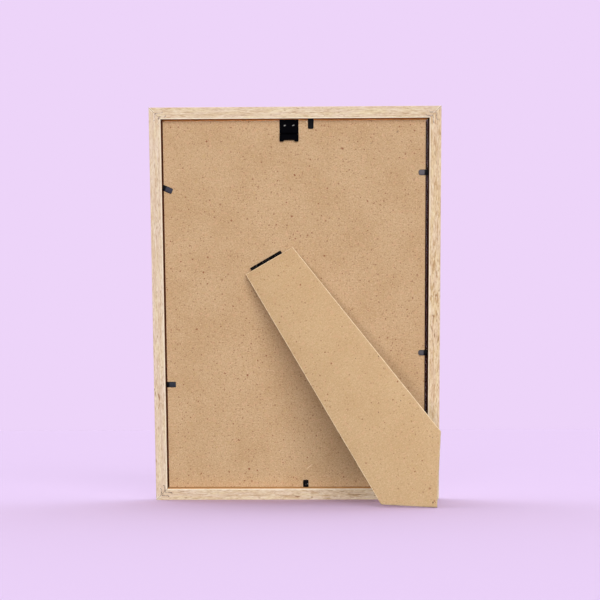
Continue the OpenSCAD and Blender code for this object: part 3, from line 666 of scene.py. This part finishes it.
def strut_panel():
    """The leg board: pressed faces, crushed arrises and sawn, slightly furry edges."""
    pts = dense(strut_pts, 1.3)
    m = len(pts)
    centre = np.mean(pts, axis=0)
    tang = [(pts[(i + 1) % m] - pts[i - 1]) / np.linalg.norm(pts[(i + 1) % m] - pts[i - 1]) for i in range(m)]
    norm = [np.array((t[1], -t[0])) for t in tang]
    if np.dot(norm[0], pts[0] - centre) < 0:
        norm = [-q for q in norm]
    lo, hi = 1.5, 4.0
    # (depth in from the outline, height) of each ring round the panel, inner face to outer face
    rings = [(0.42, lo), (0.16, lo + 0.05), (0.03, lo + 0.2), (0.0, lo + 0.9), (0.02, hi - 0.75),
             (0.05, hi - 0.3), (0.22, hi - 0.09), (0.62, hi)]
    bm = bmesh.new()
    loops = []
    for j, (inset, z) in enumerate(rings):
        loop = []
        for i, p in enumerate(pts):
            side = 1.0 if 0 < j < len(rings) - 1 else 0.35
            rag = 0.10 + 0.10 * wander1(i * 0.9, 3.0 + j * 0.13) + 0.05 * wander1(i * 0.31, 8.0)
            q = p - norm[i] * (inset + max(0.0, rag) * side)
            loop.append(bm.verts.new((q[0] / 1000, q[1] / 1000, z / 1000)))
        loops.append(loop)
    for j in range(len(rings) - 1):
        for i in range(m):
            k = (i + 1) % m
            f = bm.faces.new((loops[j][i], loops[j][k], loops[j + 1][k], loops[j + 1][i]))
            f.material_index = 1 if 1 <= j <= len(rings) - 3 else 2
    for loop in (loops[0], loops[-1]):
        bm.faces.new(loop).material_index = 0
    bmesh.ops.triangulate(bm, faces=[f for f in bm.faces if len(f.verts) > 4])
    return bm


STRUT_MARKS = ((21.7, -236.4, 1.8, 1.2, 40, 0.95), (37.4, -157.6, 1.1, 1.0, 0, 0.8), (22.9, -110.8, 1.0, 0.9, 0, 0.7),
               (39.1, -118.5, 1.5, 1.0, 20, 0.8), (18.6, -156.8, 1.0, 0.9, 0, 0.75), (-10.0, -130.5, 0.9, 0.8, 0, 0.5),
               (44.7, -194.2, 1.1, 0.9, 0, 0.6), (47.6, -199.6, 1.0, 0.8, 0, 0.5))
strut_face = fibreboard("strut_fibre", STRUT_AT, lin(206, 173, 133), lin(214, 182, 143), lin(188, 150, 108),
                        lin(146, 88, 52), 5.0, 0.45, STRUT_MARKS, (), 0.8)
strut_cut = cut_edge("strut_cut_edge", STRUT_AT)
strut_arris = cut_edge("strut_arris", STRUT_AT, 1.04, (210, 176, 136))
strut = finish_mesh("strut_board", strut_panel(), [strut_face, strut_cut, strut_arris], 35)
strut.data.transform(STRUT_AT)
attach(strut, "strut_body")
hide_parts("strut")

# ---------------------------------------------------------------- retaining tabs
TABS = (("tab_top", 12.5, OUT_H - BACK_W, -90.0, 8.1, 1.0),
        ("tab_bottom", 7.0, BACK_W, 90.0, 5.9, 0.8),
        ("tab_left_upper", -OPEN_W / 2, 255.4, -23.5, 8.4, 0.7),
        ("tab_left_lower", -OPEN_W / 2, 95.1, 0.0, 7.95, 0.4),
        ("tab_right_upper", OPEN_W / 2, 266.2, 180.0, 8.15, 1.7),
        ("tab_right_lower", OPEN_W / 2, 120.6, 180.0, 7.75, 1.7))


def tab_strip(bend, length, tip_r, seed):
    """One stamped strip, left flat: driven point, closer rings at the bend line, and rounded tip, with rolled-over
    edges.
    """
    r = min(tip_r, TAB_W / 2 - 0.05)
    xs = [-SHANK, -SHANK + 1.0, -SHANK + 2.0, -2.0, -0.6]
    xs += [bend + 0.12 * k for k in range(-5, 6)]
    xs += [bend + 1.3, length * 0.5, length - r - 0.6]
    xs += [length - r + r * math.sin(math.radians(a)) for a in (0, 15, 30, 45, 60, 75, 90)]
    bm = bmesh.new()
    rings = []
    for i, s in enumerate(xs):
        half = TAB_W / 2
        if s < -SHANK + 2.0:
            half = 1.0 + (TAB_W / 2 - 1.0) * (s + SHANK) / 2.0
        if s > length - r:
            q = min(1.0, (s - (length - r)) / r)
            half = TAB_W / 2 - r + r * math.sqrt(max(0.0, 1 - q * q))
        b = min(0.13, half * 0.5)
        t = TAB_T / 2
        tip = 1.0 if i < len(xs) - 1 else 0.45
        sec = []
        for y, z in ((-half, -t + b), (-half, t - b), (-half + b * 0.4, t - b * 0.35), (-half + b, t),
                     (0.0, t), (half - b, t), (half - b * 0.4, t - b * 0.35), (half, t - b), (half, -t + b),
                     (half - b * 0.4, -t + b * 0.35), (half - b, -t), (0.0, -t), (-half + b, -t),
                     (-half + b * 0.4, -t + b * 0.35)):
            z = z * tip
            sec.append(bm.verts.new((s / 1000, y / 1000, z / 1000)))
        rings.append(sec)
    k = len(rings[0])
    for a, b in zip(rings, rings[1:]):
        for i in range(k):
            bm.faces.new((a[i], a[(i + 1) % k], b[(i + 1) % k], b[i]))
    bm.faces.new(rings[0])
    bm.faces.new(rings[-1])
    return bm


# painted grey sheen on each tab's face: where it starts, where it is full, and its colour
FACES = {"tab_left_upper": (2.0, 3.6, (66, 66, 80)), "tab_left_lower": (1.9, 3.4, (50, 54, 66)),
         "tab_right_upper": (2.6, 4.2, (108, 104, 112)), "tab_right_lower": (2.6, 4.2, (92, 90, 98)),
         "tab_top": (4.0, 8.0, (16, 16, 18)), "tab_bottom": (3.0, 6.0, (16, 15, 17))}
# painted glints on the bottom tab
TAB_SPOTS = {"tab_bottom": ((-8.6, 11.9, 1.3, 0.8, 60, 0.55), (-7.0, 11.4, 1.2, 0.7, 30, 0.22))}
for i, (name, u, h, turn, length, tip_r) in enumerate(TABS):
    skew = abs(turn - 90 * round(turn / 90))
    bend = 0.6 + TAB_W / 2 * math.sin(math.radians(skew))
    start, full, grey = FACES[name]
    mat = black_metal(name + "_black", 10.0 + i, (0, 0, 2), (4, 4, 6), (0.4, 0.55), 0.05, 0.03,
                      (u, h, turn, start, full, grey), TAB_SPOTS.get(name, ()))
    o = finish_mesh(name + "_strip", tab_strip(bend, length, tip_r, i), [mat], 40)
    place = STANCE @ Matrix.Translation((u / 1000, h / 1000, TAB_MID / 1000)) @ Matrix.Rotation(math.radians(turn), 4, "Z")
    o.matrix_world = place
    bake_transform(o)
    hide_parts(name, "tab_shanks")

# ---------------------------------------------------------------- pane
# A hair thinner than its solid and with ground edges, so that its back face and the print's front are two surfaces.
bm = bmesh.new()
bm.from_mesh(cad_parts["glazing"].data)
bmesh.ops.remove_doubles(bm, verts=bm.verts, dist=1e-6)
bmesh.ops.dissolve_limit(bm, angle_limit=math.radians(1), verts=bm.verts, edges=bm.edges)
bmesh.ops.transform(bm, matrix=STANCE.inverted(), verts=bm.verts)
mid = sum((v.co for v in bm.verts), Vector()) / len(bm.verts)
for v in bm.verts:
    for k in range(3):
        v.co[k] -= math.copysign(0.00006, v.co[k] - mid[k])
bmesh.ops.bevel(bm, geom=list(bm.edges), offset=0.0003, segments=2, profile=0.5, affect="EDGES")
bmesh.ops.transform(bm, matrix=STANCE, verts=bm.verts)
pane = finish_mesh("glass_pane", bm, [clear_glass("float_glass_pane")])
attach(pane, "frame")
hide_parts("glazing")

# ---------------------------------------------------------------- stage
LILAC = lin(237, 212, 249)
SKY_LOW, SKY_HIGH, SKY_TINT, SKY_WARM = 0.06, 1.45, (1.0, 0.99, 0.97, 1), (1.0, 0.8, 0.62, 1)
KEY, KEY_TINT, KEY_FROM, KEY_ANGLE = 2.55, (0.985, 0.995, 0.985), (0.16, 0.36, 1.0), 46
EDGE, EDGE_FROM, EDGE_ANGLE = 0.5, (-0.055, 0.02, 1.0), 6


def floor_material():
    n = Nodes("plain_floor")
    v = n.local_mm()
    soft = n.noise(v, 0.004, 3, 0.5)
    # seen as the pale lilac card it is, but its bounce is kept neutral, as a white studio's is
    seen = n.mix(soft, FLOOR_LO, FLOOR_HI)
    path = n.new("ShaderNodeLightPath")
    n.set(Base_Color=n.mix(path.outputs["Is Diffuse Ray"], seen, (0.13, 0.10, 0.08, 1)),
          Roughness=n.span(soft, 0.3, 0.7, 0.75, 0.8))
    n.bsdf.inputs["Specular IOR Level"].default_value = 0.0
    return n.mat


FLOOR_K = 1.0
FLOOR_LO = tuple(c * FLOOR_K * k for c, k in zip(LILAC, (0.985, 0.995, 1.035))) + (1.0,)
FLOOR_HI = tuple(c * 1.01 for c in FLOOR_LO[:3]) + (1.0,)
bm = bmesh.new()
bmesh.ops.create_circle(bm, cap_ends=True, radius=60.0, segments=64)
floor = finish_mesh("studio_floor", bm, [floor_material()])
if floor.data.polygons[0].normal.z < 0:
    floor.data.flip_normals()
floor.visible_shadow = False  # both lights reach a little below the horizon

world = bpy.data.worlds.new("studio")
bpy.context.scene.world = world
world.use_nodes = True
wt = world.node_tree
wt.nodes.clear()
w_out = wt.nodes.new("ShaderNodeOutputWorld")
w_mix = wt.nodes.new("ShaderNodeMixShader")
w_path = wt.nodes.new("ShaderNodeLightPath")
w_light = wt.nodes.new("ShaderNodeBackground")
w_seen = wt.nodes.new("ShaderNodeBackground")
w_dir = wt.nodes.new("ShaderNodeTexCoord")
w_dot = wt.nodes.new("ShaderNodeVectorMath")
w_dot.operation = "DOT_PRODUCT"
w_dot.inputs[1].default_value = (0.0, -0.6, 0.8)
w_side = wt.nodes.new("ShaderNodeMapRange")
w_side.interpolation_type = "SMOOTHSTEP"
for i, value in enumerate((0.15, 0.85, SKY_LOW, SKY_HIGH)):
    w_side.inputs[i + 1].default_value = value
wt.links.new(w_dir.outputs["Generated"], w_dot.inputs[0])
wt.links.new(w_dot.outputs["Value"], w_side.inputs[0])
wt.links.new(w_side.outputs[0], w_light.inputs[1])
w_tint = wt.nodes.new("ShaderNodeMix")
w_tint.data_type = "RGBA"
w_fade = wt.nodes.new("ShaderNodeMapRange")
for i, value in enumerate((0.0, 0.5, 0.0, 1.0)):
    w_fade.inputs[i + 1].default_value = value
wt.links.new(w_dot.outputs["Value"], w_fade.inputs[0])
wt.links.new(w_fade.outputs[0], w_tint.inputs[0])
w_tint.inputs[6].default_value, w_tint.inputs[7].default_value = SKY_WARM, SKY_TINT
wt.links.new(w_tint.outputs[2], w_light.inputs[0])
w_seen.inputs[0].default_value = LILAC
w_seen.inputs[1].default_value = 1.0
wt.links.new(w_path.outputs["Is Camera Ray"], w_mix.inputs[0])
wt.links.new(w_light.outputs[0], w_mix.inputs[1])
wt.links.new(w_seen.outputs[0], w_mix.inputs[2])
wt.links.new(w_mix.outputs[0], w_out.inputs[0])


def sun(name, direction, strength, angle, colour=(1, 1, 1)):
    d = bpy.data.lights.new(name, "SUN")
    d.energy = strength
    d.angle = math.radians(angle)
    d.color = colour
    o = bpy.data.objects.new(name, d)
    bpy.context.scene.collection.objects.link(o)
    o.rotation_mode = "QUATERNION"
    o.rotation_quaternion = (-toward(*direction)).to_track_quat("-Z", "Y")
    return o


sun("key", KEY_FROM, KEY, KEY_ANGLE, KEY_TINT)
sun("edge", EDGE_FROM, EDGE, EDGE_ANGLE, KEY_TINT)  # draws the narrow shadow along the strut's far side

# ---------------------------------------------------------------- camera
rv = Vector((0.116244943, -0.0141370612, 0.0052482754))
turn = Matrix.Rotation(rv.length, 3, rv.normalized())
moved = Vector((-3.15948606, -5.45633852, -1005.58997))
eye = turn.transposed() @ -moved
cam_data = bpy.data.cameras.new("camera")
cam_data.sensor_width = 36.0
cam_data.lens = 1250.0 * 36.0 / 600.0
cam_data.clip_start = 0.05
cam_data.clip_end = 200.0
cam = bpy.data.objects.new("camera", cam_data)
bpy.context.scene.collection.objects.link(cam)
cam.matrix_world = Matrix.Translation(at(eye.x, eye.y + 159.25, eye.z)) @ (STANCE.to_3x3() @ turn.transposed()).to_4x4()
bpy.context.scene.camera = cam
bpy.context.scene.view_settings.view_transform = "Standard"
